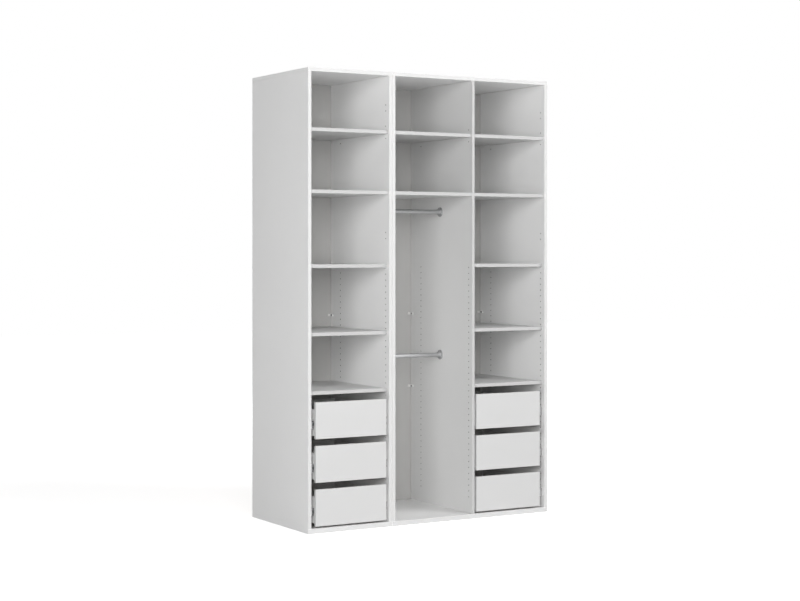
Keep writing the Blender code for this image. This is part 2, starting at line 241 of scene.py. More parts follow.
def noise(tree, scale, detail, stretch=(1, 1, 1)):
    """Noise over the piece's own places, in repeats per metre."""
    places = tree.nodes.new("ShaderNodeTexCoord")
    mapping = tree.nodes.new("ShaderNodeMapping")
    mapping.inputs["Scale"].default_value = stretch
    texture = tree.nodes.new("ShaderNodeTexNoise")
    texture.inputs["Scale"].default_value = scale
    texture.inputs["Detail"].default_value = detail
    tree.links.new(places.outputs["Object"], mapping.inputs["Vector"])
    tree.links.new(mapping.outputs["Vector"], texture.inputs["Vector"])
    return texture.outputs["Fac"]


def cells(tree, scale):
    """A random grey for each cell of a broken-up pattern, such as chips or crystals."""
    places = tree.nodes.new("ShaderNodeTexCoord")
    texture = tree.nodes.new("ShaderNodeTexVoronoi")
    texture.inputs["Scale"].default_value = scale
    grey = tree.nodes.new("ShaderNodeRGBToBW")
    tree.links.new(places.outputs["Object"], texture.inputs["Vector"])
    tree.links.new(texture.outputs["Color"], grey.inputs["Color"])
    return grey.outputs["Val"]


def spread(tree, value, low, high):
    """Spreads a noise value over a range of numbers."""
    node = tree.nodes.new("ShaderNodeMapRange")
    node.inputs["From Min"].default_value = NOISE_LOW
    node.inputs["From Max"].default_value = NOISE_HIGH
    node.inputs["To Min"].default_value = low
    node.inputs["To Max"].default_value = high
    tree.links.new(value, node.inputs["Value"])
    return node.outputs["Result"]


def mixed(tree, share, first, second):
    """Mixes two colours by a share; each is a plain colour or another node's output."""
    node = tree.nodes.new("ShaderNodeMix")
    node.data_type = "RGBA"
    tree.links.new(share, node.inputs["Factor"])
    for place, colour in ((MIX_A, first), (MIX_B, second)):
        if isinstance(colour, bpy.types.NodeSocket):
            tree.links.new(colour, node.inputs[place])
        else:
            node.inputs[place].default_value = (*colour, 1)
    return node.outputs[MIX_RESULT]


def shaded(colour, gain):
    """A colour made lighter or darker."""
    return tuple(channel * gain for channel in colour)


def facing(tree, direction):
    """1 where a surface faces along a direction, and 0 elsewhere."""
    geometry = tree.nodes.new("ShaderNodeNewGeometry")
    along = tree.nodes.new("ShaderNodeVectorMath")
    along.operation = "DOT_PRODUCT"
    along.inputs[1].default_value = direction
    above = tree.nodes.new("ShaderNodeMath")
    above.operation = "GREATER_THAN"
    above.inputs[1].default_value = math.cos(math.radians(FACING_ANGLE))
    tree.links.new(geometry.outputs["True Normal"], along.inputs[0])
    tree.links.new(along.outputs["Value"], above.inputs[0])
    return above.outputs["Value"]


def add_bump(tree, shader, height, depth):
    """Raises the surface by a height value times a depth in metres."""
    node = tree.nodes.new("ShaderNodeBump")
    node.inputs["Distance"].default_value = depth
    tree.links.new(height, node.inputs["Height"])
    tree.links.new(node.outputs["Normal"], shader.inputs["Normal"])


def chip_colour(tree):
    """Pressed wood chips, as on an uncoated board edge."""
    chips = spread(tree, cells(tree, scale=420), low=0, high=1)
    dust = spread(tree, noise(tree, scale=90, detail=4), low=0, high=1)
    return mixed(tree, dust, mixed(tree, chips, CHIP_DARK, CHIP_PALE), CHIP_PALE)


# Materials

def coated_board(name, colour, front_shade_colour, bare_rear=True):
    """White coated board: a faint pearl texture, front-facing faces painted darker as painted shade against
    the front light, and, where bare, chips at the rear.
    """
    material, tree, shader = new_surface(name)
    cloud = spread(tree, noise(tree, scale=2.3, detail=3), low=0, high=1)
    face = mixed(tree, cloud, shaded(colour, 0.985), shaded(colour, 1.01))
    # painted shade: faces that look to the front take the darker front colour
    front_shaded = mixed(tree, facing(tree, (0, -1, 0)), face, front_shade_colour)
    whole = mixed(tree, facing(tree, (0, 1, 0)), front_shaded, chip_colour(tree)) if bare_rear else front_shaded
    tree.links.new(whole, shader.inputs["Base Color"])
    gloss = spread(tree, noise(tree, scale=13, detail=3), low=0.43, high=0.46)
    tree.links.new(gloss, shader.inputs["Roughness"])
    add_bump(tree, shader, noise(tree, scale=780, detail=2), depth=0.00005)
    return material


def lacquered_back(name, colour):
    """Thin hardboard, lacquered white with a fine orange peel in front, bare brown fibre behind and below."""
    material, tree, shader = new_surface(name)
    cloud = spread(tree, noise(tree, scale=3.1, detail=3), low=0, high=1)
    lacquer = mixed(tree, cloud, shaded(colour, 0.98), shaded(colour, 1.01))
    fibres = spread(tree, noise(tree, scale=240, detail=6, stretch=(1, 1, 0.35)), low=0, high=1)
    fibre = mixed(tree, fibres, FIBRE_DARK, FIBRE_PALE)
    behind = mixed(tree, facing(tree, (0, 1, 0)), lacquer, fibre)
    bare = mixed(tree, facing(tree, (0, 0, -1)), behind, fibre)
    tree.links.new(bare, shader.inputs["Base Color"])
    gloss = spread(tree, noise(tree, scale=21, detail=3), low=0.56, high=0.62)
    tree.links.new(gloss, shader.inputs["Roughness"])
    add_bump(tree, shader, noise(tree, scale=320, detail=3), depth=0.00008)
    return material


def foiled_board(name, colour):
    """Drawer board wrapped in a white foil with a fine linen press."""
    material, tree, shader = new_surface(name)
    cloud = spread(tree, noise(tree, scale=5.0, detail=3), low=0, high=1)
    foil = mixed(tree, cloud, shaded(colour, 0.98), shaded(colour, 1.01))
    tree.links.new(foil, shader.inputs["Base Color"])
    gloss = spread(tree, noise(tree, scale=30, detail=3), low=0.46, high=0.52)
    tree.links.new(gloss, shader.inputs["Roughness"])
    add_bump(tree, shader, noise(tree, scale=600, detail=2, stretch=(1, 0.3, 1)), depth=0.00006)
    return material


def painted_hole_shade(name):
    """The inside of a bored hole: a rough chip pattern painted near black, as painted shade."""
    material, tree, shader = new_surface(name)
    chips = spread(tree, cells(tree, scale=900), low=0, high=1)
    tree.links.new(mixed(tree, chips, HOLE_SHADE_DARK, HOLE_SHADE_PALE), shader.inputs["Base Color"])
    gloss = spread(tree, noise(tree, scale=200, detail=2), low=0.8, high=0.95)
    tree.links.new(gloss, shader.inputs["Roughness"])
    add_bump(tree, shader, noise(tree, scale=1400, detail=3), depth=0.0003)
    return material


def satin_chrome(name):
    """Satin chrome plate with faint drawing marks along it."""
    material, tree, shader = new_surface(name, metallic=1.0)
    haze = spread(tree, noise(tree, scale=60, detail=4), low=0, high=1)
    tree.links.new(mixed(tree, haze, shaded(CHROME_GREY, 0.97), CHROME_GREY), shader.inputs["Base Color"])
    gloss = spread(tree, noise(tree, scale=140, detail=5, stretch=(0.05, 1, 1)), low=0.58, high=0.66)
    tree.links.new(gloss, shader.inputs["Roughness"])
    add_bump(tree, shader, noise(tree, scale=400, detail=2, stretch=(0.02, 1, 1)), depth=0.00001)
    return material


def zinc_plate(name):
    """Rolled steel strip with a bright zinc plating: small crystals and fine marks along the strip."""
    material, tree, shader = new_surface(name, metallic=1.0)
    crystals = spread(tree, cells(tree, scale=380), low=0, high=1)
    plating = mixed(tree, crystals, shaded(ZINC_GREY, 0.93), shaded(ZINC_GREY, 1.05))
    tree.links.new(plating, shader.inputs["Base Color"])
    gloss = spread(tree, noise(tree, scale=900, detail=3, stretch=(1, 0.02, 1)), low=0.26, high=0.42)
    tree.links.new(gloss, shader.inputs["Roughness"])
    add_bump(tree, shader, noise(tree, scale=1200, detail=2, stretch=(1, 0.02, 1)), depth=0.00001)
    return material


def moulded_plastic(name, colour, low_roughness, high_roughness):
    """Moulded plastic with a fine spark-eroded grain."""
    material, tree, shader = new_surface(name)
    cloud = spread(tree, noise(tree, scale=45, detail=2), low=0, high=1)
    tint = mixed(tree, cloud, shaded(colour, 0.96), shaded(colour, 1.02))
    gloss = spread(tree, noise(tree, scale=160, detail=2), low_roughness, high_roughness)
    tree.links.new(tint, shader.inputs["Base Color"])
    tree.links.new(gloss, shader.inputs["Roughness"])
    add_bump(tree, shader, noise(tree, scale=1500, detail=2), depth=0.00004)
    return material


CARCASS_BOARD = coated_board("carcass_board", CARCASS_WHITE, CARCASS_FRONT_SHADE)
INNER_BOARD = coated_board("inner_board", INNER_WHITE, INNER_FRONT_SHADE)
SHELF_BOARD = coated_board("shelf_board", SHELF_WHITE, INNER_FRONT_SHADE)
FRONT_BOARD = coated_board("front_board", FRONT_WHITE, FRONT_WHITE, bare_rear=False)
BACK_BOARD = lacquered_back("back_board", BACK_WHITE)
DRAWER_BOARD = foiled_board("drawer_board", DRAWER_WHITE)
HOLE_SHADE_BOARD = painted_hole_shade("hole_painted_shade")
CHROME = satin_chrome("chrome")
ZINC = zinc_plate("zinc_steel")
WHITE_PLASTIC = moulded_plastic("white_plastic", PLASTIC_WHITE, low_roughness=0.38, high_roughness=0.5)
GREY_PLASTIC_AND_SHADE = moulded_plastic("grey_plastic", PLASTIC_GREY_AND_SHADE, low_roughness=0.4, high_roughness=0.55)
BLACK_PLASTIC_AND_SHADE = moulded_plastic("black_plastic", PLASTIC_BLACK_AND_SHADE, low_roughness=0.45, high_roughness=0.6)


# Camera, floor and light

def place_camera():
    """The photograph's camera: level, turned to the right, its picture shifted to the horizon."""
    data = bpy.data.cameras.new("camera")
    data.sensor_width = SENSOR_WIDTH
    data.lens = FOCAL_PIXELS / PICTURE_WIDTH * SENSOR_WIDTH
    data.shift_x = (PICTURE_WIDTH / 2 - CENTRE_PIXEL) / PICTURE_WIDTH
    data.shift_y = (HORIZON_PIXEL - PICTURE_HEIGHT / 2) / PICTURE_WIDTH
    camera = bpy.data.objects.new("camera", data)
    bpy.context.scene.collection.objects.link(camera)
    camera.location = CAMERA_PLACE
    camera.rotation_euler = (math.pi / 2, 0, -math.radians(CAMERA_TURN))
    bpy.context.scene.camera = camera


def seen_directly(tree):
    """1 for what the camera sees, also in a mirror or through glass, and 0 for light on its way."""
    path = tree.nodes.new("ShaderNodeLightPath")
    either = tree.nodes.new("ShaderNodeMath")
    either.operation = "MAXIMUM"
    any_ray = tree.nodes.new("ShaderNodeMath")
    any_ray.operation = "MAXIMUM"
    tree.links.new(path.outputs["Is Camera Ray"], either.inputs[0])
    tree.links.new(path.outputs["Is Glossy Ray"], either.inputs[1])
    tree.links.new(either.outputs["Value"], any_ray.inputs[0])
    tree.links.new(path.outputs["Is Transmission Ray"], any_ray.inputs[1])
    return any_ray.outputs["Value"]


def whitening(tree):
    """How white the floor is by itself: some near its middle, and all of it far out."""
    places = tree.nodes.new("ShaderNodeTexCoord")
    reach = tree.nodes.new("ShaderNodeVectorMath")
    reach.operation = "LENGTH"
    ramp = tree.nodes.new("ShaderNodeMapRange")
    ramp.inputs["From Min"].default_value = FLOOR_NEAR
    ramp.inputs["From Max"].default_value = FLOOR_FAR
    ramp.inputs["To Min"].default_value = FLOOR_LIFT
    ramp.inputs["To Max"].default_value = 1
    tree.links.new(places.outputs["Object"], reach.inputs[0])
    tree.links.new(reach.outputs["Value"], ramp.inputs["Value"])
    return ramp.outputs["Result"]


def studio_floor():
    """A pale floor that keeps the shadow near the body and turns plain white further out."""
    bm = bmesh.new()
    bmesh.ops.create_grid(bm, x_segments=1, y_segments=1, size=FLOOR_SIZE / 2)
    mesh = bpy.data.meshes.new("studio_floor")
    bm.to_mesh(mesh)
    bm.free()
    floor = bpy.data.objects.new("studio_floor", mesh)
    floor.location.z = -FLOOR_DROP
    bpy.context.scene.collection.objects.link(floor)
    material, tree, shader = new_surface("studio_floor")
    shader.inputs["Base Color"].default_value = (*FLOOR_COLOUR, 1)
    shader.inputs["Roughness"].default_value = FLOOR_ROUGHNESS
    shader.inputs["Specular IOR Level"].default_value = 0
    lift = tree.nodes.new("ShaderNodeMath")
    lift.operation = "MULTIPLY"
    glow = tree.nodes.new("ShaderNodeEmission")
    both = tree.nodes.new("ShaderNodeAddShader")
    tree.links.new(seen_directly(tree), lift.inputs[0])
    tree.links.new(whitening(tree), lift.inputs[1])
    tree.links.new(lift.outputs["Value"], glow.inputs["Strength"])
    tree.links.new(shader.outputs["BSDF"], both.inputs[0])
    tree.links.new(glow.outputs["Emission"], both.inputs[1])
    tree.links.new(both.outputs["Shader"], tree.nodes["Material Output"].inputs["Surface"])
    mesh.materials.append(material)


def white_dome():
    """A white surround: plain white where it is seen, and only a faint light on the body."""
    world = bpy.data.worlds.new("white_dome")
    world.use_nodes = True
    tree = world.node_tree
    background = tree.nodes["Background"]
    background.inputs["Color"].default_value = (1, 1, 1, 1)
    strength = tree.nodes.new("ShaderNodeMath")
    strength.operation = "MULTIPLY_ADD"
    strength.inputs[1].default_value = 1 - DOME_STRENGTH
    strength.inputs[2].default_value = DOME_STRENGTH
    tree.links.new(seen_directly(tree), strength.inputs[0])
    tree.links.new(strength.outputs["Value"], background.inputs["Strength"])
    bpy.context.scene.world = world


def soft_lamp(name, place, size, power):
    """A wide soft lamp that looks at the middle of the body."""
    data = bpy.data.lights.new(name, "AREA")
    data.shape = "RECTANGLE"
    data.size, data.size_y = size
    data.energy = power
    lamp = bpy.data.objects.new(name, data)
    bpy.context.scene.collection.objects.link(lamp)
    lamp.location = place
    aim = Vector(LAMP_AIM) - Vector(place)
    lamp.rotation_euler = aim.to_track_quat("-Z", "Y").to_euler()


# Shape helpers

def add_piece(name, bm, materials, body, replaced=(), smooth=False):
    """Turns a mesh that is drawn in world places into a piece that rides on a body."""
    bmesh.ops.recalc_face_normals(bm, faces=bm.faces)
    mesh = bpy.data.meshes.new(name)
    bm.to_mesh(mesh)
    bm.free()
    for material in materials:
        mesh.materials.append(material)
    if smooth:
        mesh.shade_smooth()
        mesh.set_sharp_from_angle(angle=math.radians(SMOOTH_ANGLE))
    piece = bpy.data.objects.new(name, mesh)
    bpy.context.scene.collection.objects.link(piece)
    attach(piece, body)
    if replaced:
        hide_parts(*replaced)


def rounded(corners, steps=ROUND_STEPS, closed=True):
    """A line through corners of (x, y, radius), with an arc at each corner that has a radius."""
    line = []
    for index, (x, y, radius) in enumerate(corners):
        corner = Vector((x, y))
        at_end = not closed and index in (0, len(corners) - 1)
        if radius == 0 or at_end:
            line.append(corner)
            continue
        before = (Vector(corners[index - 1][:2]) - corner).normalized()
        after = (Vector(corners[(index + 1) % len(corners)][:2]) - corner).normalized()
        opening = before.angle(after)
        centre = corner + (before + after).normalized() * (radius / math.sin(opening / 2))
        start = corner + before * (radius / math.tan(opening / 2)) - centre
        turn = math.copysign(math.pi - opening, before.cross(after) * -1)
        line += [centre + Matrix.Rotation(turn * step / steps, 2) @ start for step in range(steps + 1)]
    return line


def prism(bm, outline, axis, start, end):
    """Draws a closed outline of the other two axes out along one axis."""
    first, second = {"X": (1, 2), "Y": (0, 2), "Z": (0, 1)}[axis]
    ends = []
    for level in (start, end):
        ring = []
        for point in outline:
            place = [level] * 3
            place[first], place[second] = point
            ring.append(bm.verts.new(place))
        ends.append(ring)
        bm.faces.new(ring)
    for index in range(len(outline)):
        before = index - 1
        bm.faces.new((ends[0][before], ends[0][index], ends[1][index], ends[1][before]))


def turned(bm, outline, origin, direction, segments=TURNED_SEGMENTS, closed=False):
    """Turns an outline of (distance along, radius) about an axis, where a point on it is a single corner."""
    turn = Vector(direction).to_track_quat("Z", "Y").to_matrix()
    rings = []
    for along, radius in outline:
        count = segments if radius else 1
        angles = [2 * math.pi * step / count for step in range(count)]
        places = [Vector((radius * math.cos(angle), radius * math.sin(angle), along)) for angle in angles]
        rings.append([bm.verts.new(Vector(origin) + turn @ place) for place in places])
    pairs = list(zip(rings, rings[1:]))
    if closed:
        pairs.append((rings[-1], rings[0]))
    for first, second in pairs:
        for step in range(segments):
            after = step + 1
            corners = [first[step % len(first)], first[after % len(first)],
                       second[after % len(second)], second[step % len(second)]]
            bm.faces.new(dict.fromkeys(corners))


def folded_sheet(middle, thickness):
    """The closed outline of a bent sheet, from the middle line of its section."""
    left, right = [], []
    for index, point in enumerate(middle):
        before, after = middle[max(index - 1, 0)], middle[min(index + 1, len(middle) - 1)]
        along = (after - before).normalized()
        across = Vector((-along.y, along.x)) * thickness / 2
        left.append(point + across)
        right.append(point - across)
    return left + right[::-1]


def screw_head(bm, place, direction):
    """A low domed screw head with a small recess in its middle."""
    dome = [(SCREW_HEIGHT * up, SCREW_RADIUS * out) for up, out in (SCREW_SHOULDER, SCREW_CROWN)]
    floor, floor_radius = SCREW_HEIGHT * RECESS_FLOOR[0], SCREW_RECESS * RECESS_FLOOR[1]
    recess = [(SCREW_HEIGHT, SCREW_RECESS), (floor, floor_radius), (floor, 0)]
    outline = [(0, 0), (0, SCREW_RADIUS)] + dome + recess
    turned(bm, outline, place, direction, SCREW_SEGMENTS)


# Bored boards

def row_heights():
    """Heights of the pin holes: one long row, and three about the middle of the top shelf."""
    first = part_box("wide_base")[1].z + ROW_START
    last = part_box("left_upper_shelf")[0].z - HOLE_RADIUS
    count = round((last - first) / HOLE_PITCH) + 1
    shelf_low, shelf_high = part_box("left_top_shelf")
    middle = (shelf_low.z + shelf_high.z) / 2
    long_row = [first + number * HOLE_PITCH for number in range(count)]
    return long_row + [middle + step * HOLE_PITCH for step in (-1, 0, 1)]


def hinge_heights():
    """Heights of the pairs of holes for hinge plates above the long row."""
    top = CAD_BOX[1].z - HINGE_INSET
    plates = (top, top - HINGE_SPACING)
    return [plate + side * HOLE_PITCH / 2 for plate in plates for side in (-1, 1)]


def hole_places(with_hinges):
    """Places of the holes on a wall, as (y, z)."""
    front_row = CAD_BOX[0].y + FRONT_ROW_SETBACK
    rear_row = CAD_BOX[1].y - REAR_ROW_INSET
    front_heights = row_heights() + (hinge_heights() if with_hinges else [])
    front_places = [(front_row, height) for height in front_heights]
    return front_places + [(rear_row, height) for height in row_heights()]


def hole_rims(bm, wall, places, radius):
    """Round rims of holes in the plane X = wall."""
    angles = [2 * math.pi * step / HOLE_SEGMENTS for step in range(HOLE_SEGMENTS)]
    return [[bm.verts.new((wall, y + radius * math.cos(a), z + radius * math.sin(a))) for a in angles]
            for y, z in places]


def open_face(bm, wall, rims):
    """Fills the large face in the plane X = wall again, with openings at the rims and no empty slivers."""
    in_plane = [item for item in bm.faces
                if all(abs(corner.co.x - wall) < SAME_PLANE for corner in item.verts)]
    face = max(in_plane, key=lambda item: item.calc_area())
    edges = list(face.edges)
    bm.faces.remove(face)
    for rim in rims:
        edges += [bm.edges.new((rim[step - 1], rim[step])) for step in range(len(rim))]
    filled = bmesh.ops.triangle_fill(bm, use_beauty=True, edges=edges)["geom"]
    new_faces = [item for item in filled if isinstance(item, bmesh.types.BMFace)]
    slivers = [item for item in new_faces if item.calc_area() < SLIVER_AREA]
    bmesh.ops.delete(bm, geom=slivers, context="FACES")


def bore(bm, near, far, places, through):
    """Bores countersunk holes from X = near to X = far, with a flat floor unless they go right through."""
    sink = math.copysign(MOUTH_DEPTH, far - near)
    entry = [(near, MOUTH_RADIUS), (near + sink, HOLE_RADIUS)]
    leave = [(far - sink, HOLE_RADIUS), (far, MOUTH_RADIUS)] if through else [(far, HOLE_RADIUS)]
    rings = [hole_rims(bm, level, places, radius) for level, radius in entry + leave]
    open_face(bm, near, rings[0])
    if through:
        open_face(bm, far, rings[-1])
    # the hole walls and floors take the second material, the painted hole shade
    for hole in zip(*rings):
        inside = [bm.faces.new((outer[step - 1], outer[step], inner[step], inner[step - 1]))
                  for outer, inner in zip(hole, hole[1:]) for step in range(HOLE_SEGMENTS)]
        if not through:
            inside.append(bm.faces.new(hole[-1]))
        for face in inside:
            face.material_index = 1


def side_board(node, back_node, inner_is_right, trim=0.0):
    """A carcass side with rounded edges, a groove for the back and bored holes on its inner face."""
    low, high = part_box(node)
    back_low, back_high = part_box(back_node)
    inner, outer = (high.x, low.x) if inner_is_right else (low.x, high.x)
    into = math.copysign(1, outer - inner)
    outer -= into * trim
    groove_floor = inner + into * GROOVE_DEPTH
    groove_front, groove_rear = back_low.y - SHADOW_GAP, back_high.y + GROOVE_PLAY
    plan = [(outer, low.y, EDGE_ROUND), (inner, low.y, EDGE_ROUND), (inner, groove_front, 0),
            (groove_floor, groove_front, 0), (groove_floor, groove_rear, 0), (inner, groove_rear, 0),
            (inner, high.y, EDGE_ROUND), (outer, high.y, EDGE_ROUND)]
    bm = bmesh.new()
    prism(bm, rounded(plan), "Z", low.z, high.z)
    bore(bm, inner, inner + into * HOLE_DEPTH, hole_places(with_hinges=True), through=False)
    add_piece(f"{node}_board", bm, (CARCASS_BOARD, HOLE_SHADE_BOARD), "carcass", [node])


def partition_board():
    """The upright with holes right through it."""
    low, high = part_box("partition")
    rear = high.y - SHADOW_GAP
    plan = [(low.x, low.y, EDGE_ROUND), (high.x, low.y, EDGE_ROUND), (high.x, rear, 0), (low.x, rear, 0)]
    bm = bmesh.new()
    prism(bm, rounded(plan), "Z", low.z, high.z)
    bore(bm, low.x, high.x, hole_places(with_hinges=False), through=True)
    add_piece("partition_board", bm, (INNER_BOARD, HOLE_SHADE_BOARD), "carcass", ["partition"])


# Hanging rods

def hanging_rod(name):
    """A chrome tube between two turned sockets, each held by small screws."""
    low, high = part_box(name)
    radius = (high.z - low.z) / 2
    centre_y, centre_z = (low.y + high.y) / 2, (low.z + high.z) / 2
    tube = bmesh.new()
    length, inside = high.x - low.x, radius - ROD_WALL
    outline = [(0, radius), (length, radius), (length, inside), (0, inside)]
    turned(tube, outline, (low.x, centre_y, centre_z), (1, 0, 0), closed=True)
    add_piece(f"{name}_tube", tube, (CHROME,), "carcass", [name], smooth=True)
    for side, inward in (("left", 1), ("right", -1)):
        node = f"{name}_{side}_socket"
        socket_low, socket_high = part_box(node)
        wall = socket_low.x if inward > 0 else socket_high.x
        place = Vector((wall, centre_y, centre_z))
        rim, reach = (socket_high.z - socket_low.z) / 2, socket_high.x - socket_low.x
        rod_socket(node, place, inward, rim, reach, radius)


def rod_socket(node, place, inward, rim, reach, rod_radius):
    """A round plate with a cup for the rod's end, and its screws."""
    bore_radius = rod_radius + SOCKET_PLAY
    cup = bore_radius + SOCKET_CUP_WALL
    corners = [(SOCKET_PLATE, 0, 0), (SOCKET_PLATE, bore_radius, 0), (reach, bore_radius, SOCKET_EASE),
               (reach, cup, SOCKET_ROUND), (SOCKET_PLATE, cup, SOCKET_ROUND),
               (SOCKET_PLATE, rim, SOCKET_ROUND), (0, rim, 0), (0, 0, 0)]
    bm = bmesh.new()
    turned(bm, rounded(corners, BEND_STEPS, closed=False), place, (inward, 0, 0))
    add_piece(f"{node}_cup", bm, (CHROME,), "carcass", [node], smooth=True)
    screws = bmesh.new()
    ring = (cup + rim) / 2
    for number in range(SOCKET_SCREWS):
        angle = math.pi / 2 + 2 * math.pi * number / SOCKET_SCREWS
        around = Vector((inward * SOCKET_PLATE, ring * math.cos(angle), ring * math.sin(angle)))
        screw_head(screws, place + around, (inward, 0, 0))
    add_piece(f"{node}_screws", screws, (ZINC,), "carcass", smooth=True)


# Shelf pins and corner pieces

def shelf_pins(shelf):
    """Four pins that stand in the holes under a loose shelf."""
    low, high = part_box(shelf)
    height = low.z - HOLE_RADIUS
    shoulder = PIN_REACH - PIN_DOME
    crown = (shoulder + PIN_DOME * PIN_CROWN[0], PIN_RADIUS * PIN_CROWN[1])
    outline = [(-PIN_ROOT, 0), (-PIN_ROOT, PIN_RADIUS), (shoulder, PIN_RADIUS), crown, (PIN_REACH, 0)]
    bm = bmesh.new()
    for y in (CAD_BOX[0].y + FRONT_ROW_SETBACK, CAD_BOX[1].y - REAR_ROW_INSET):
        for wall, inward in ((low.x - SHELF_PLAY, 1), (high.x + SHELF_PLAY, -1)):
            turned(bm, outline, (wall, y, height), (inward, 0, 0), PIN_SEGMENTS)
    add_piece(f"{shelf}_pins", bm, (ZINC,), "carcass", smooth=True)


def corner_piece(name, wall, inward, back_face, height):
    """A moulded angle on a wall and the back, with a pocket and a pin in its wall leg; the pocket is painted
    grey and the pin black, as painted shade in the corner.
    """
    tip = wall + inward * CORNER_BACK_LEG
    step = wall + inward * CORNER_THICKNESS
    nose, end = back_face - CORNER_THICKNESS, back_face - CORNER_WALL_LEG
    plan = [(wall, back_face, 0), (tip, back_face, 0), (tip, nose, CORNER_ROUND), (step, nose, 0),
            (step, end, CORNER_ROUND), (wall, end, 0)]
    bm = bmesh.new()
    prism(bm, rounded(plan), "Z", height - CORNER_HEIGHT / 2, height + CORNER_HEIGHT / 2)
    bmesh.ops.recalc_face_normals(bm, faces=bm.faces)
    across = Vector((inward, 0, 0))
    nearly_along = math.cos(math.radians(FLAT_ANGLE))
    inner_faces = [face for face in bm.faces if face.normal.dot(across) > nearly_along]
    pocket = max(inner_faces, key=lambda face: face.calc_area())
    bmesh.ops.inset_individual(bm, faces=[pocket], thickness=POCKET_RIM)
    sunk = bmesh.ops.inset_individual(bm, faces=[pocket], thickness=POCKET_DRAFT, depth=-POCKET_DEPTH)
    # painted shade: the pocket and its walls take the grey
    for face in [pocket] + sunk["faces"]:
        face.material_index = 1
    pin_place = pocket.calc_center_median()
    add_piece(name, bm, (WHITE_PLASTIC, GREY_PLASTIC_AND_SHADE), "carcass")
    # painted shade: the pin is black to darken the pocket further
    pin = bmesh.new()
    screw_head(pin, pin_place, across)
    add_piece(f"{name}_pin", pin, (BLACK_PLASTIC_AND_SHADE,), "carcass", smooth=True)


def corner_pieces():
    """The corner pieces of each bay, at both of its walls."""
    back_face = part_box("narrow_back")[0].y
    for bay, levels in CORNER_LEVELS.items():
        low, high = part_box(f"{bay}_fixed_shelf")
        for number, level in enumerate(levels, 1):
            corner_piece(f"{bay}_bay_left_corner_{number}", low.x, 1, back_face, level)
            corner_piece(f"{bay}_bay_right_corner_{number}", high.x, -1, back_face, level)


# Drawers

def box_side(name, drawer, outer, inward, box, bottom):
    """One side of a drawer box: round top edges and a groove for the bottom."""
    low, high = box
    inner = outer + inward * BOX_WALL
    groove = inner - inward * BOTTOM_GROOVE
    groove_low, groove_high = bottom[0].z - BOTTOM_PLAY, bottom[1].z + BOTTOM_PLAY
    section = [(outer, low.z, EDGE_ROUND), (inner, low.z, EDGE_ROUND), (inner, groove_low, 0),
               (groove, groove_low, 0), (groove, groove_high, 0), (inner, groove_high, 0),
               (inner, high.z, BOX_ROUND), (outer, high.z, BOX_ROUND)]
    bm = bmesh.new()
    prism(bm, rounded(section, BEND_STEPS), "Y", low.y, high.y)
    add_piece(name, bm, (DRAWER_BOARD,), drawer, [f"{drawer}_box"])


def box_back(drawer, left, right, box, bottom):
    """The back of a drawer box, between its sides."""
    low, high = box
    front, rear = high.y - BOX_WALL, high.y
    groove = front + BOTTOM_GROOVE
    groove_low, groove_high = bottom[0].z - BOTTOM_PLAY, bottom[1].z + BOTTOM_PLAY
    section = [(rear, low.z, EDGE_ROUND), (front, low.z, EDGE_ROUND), (front, groove_low, 0),
               (groove, groove_low, 0), (groove, groove_high, 0), (front, groove_high, 0),
               (front, high.z, BOX_ROUND), (rear, high.z, BOX_ROUND)]
    bm = bmesh.new()
    prism(bm, rounded(section, BEND_STEPS), "X", left + BOX_WALL + BUTT_PLAY, right - BOX_WALL - BUTT_PLAY)
    add_piece(f"{drawer}_box_back", bm, (DRAWER_BOARD,), drawer, [f"{drawer}_box"])


def section_at(middle, wall, inward, centre):
    """Places a folded section of (distance from a wall, height) against a wall that faces along X."""
    outline = folded_sheet(middle, RUNNER_STEEL)
    return [(wall + inward * distance, centre + height) for distance, height in outline]


def fixed_rail(name, node, web, inward, box):
    """The channel on the wall: a folded strip with lips that hold the balls."""
    low, high = box
    centre, half = (low.z + high.z) / 2, (high.z - low.z) / 2
    skin = RUNNER_STEEL / 2
    tip = FLANGE_REACH - skin
    corners = [(tip, half - LIP_DROP, 0), (tip, half - skin, RUNNER_BEND), (skin, half - skin, RUNNER_BEND),
               (skin, skin - half, RUNNER_BEND), (tip, skin - half, RUNNER_BEND), (tip, LIP_DROP - half, 0)]
    bm = bmesh.new()
    prism(bm, section_at(rounded(corners, BEND_STEPS, closed=False), web, inward, centre), "Y", low.y, high.y)
    add_piece(f"{name}_channel", bm, (ZINC,), "carcass", [node])
    screws = bmesh.new()
    first = CAD_BOX[0].y + FRONT_ROW_SETBACK
    for number in range(RUNNER_SCREWS):
        place = (web + inward * RUNNER_STEEL, first + number * RUNNER_SCREW_STEP, centre)
        screw_head(screws, place, (inward, 0, 0))
    add_piece(f"{name}_screws", screws, (ZINC,), "carcass", smooth=True)
    ball_cages(name, web, inward, centre, half, low.y)


def steel_ball(bm, place):
    """One ball of a runner."""
    angles = [math.pi * step / BALL_RINGS for step in range(1, BALL_RINGS)]
    arc = [(-BALL_RADIUS * math.cos(a), BALL_RADIUS * math.sin(a)) for a in angles]
    known = set(bm.faces)
    turned(bm, [(-BALL_RADIUS, 0)] + arc + [(BALL_RADIUS, 0)], place, (0, 1, 0), 2 * BALL_RINGS)
    for face in set(bm.faces) - known:
        face.material_index = 1


def cage_bar(bm, across, height, middle):
    """One bar of a runner's plastic cage, between two balls."""
    wide, tall = CAGE_WIDTH / 2, CAGE_HEIGHT / 2
    section = [(across - wide, height - tall, EDGE_ROUND), (across + wide, height - tall, EDGE_ROUND),
               (across + wide, height + tall, EDGE_ROUND), (across - wide, height + tall, EDGE_ROUND)]
    half_length = BALL_PITCH / 2 - BALL_RADIUS - CAGE_GAP
    prism(bm, rounded(section), "Y", middle - half_length, middle + half_length)


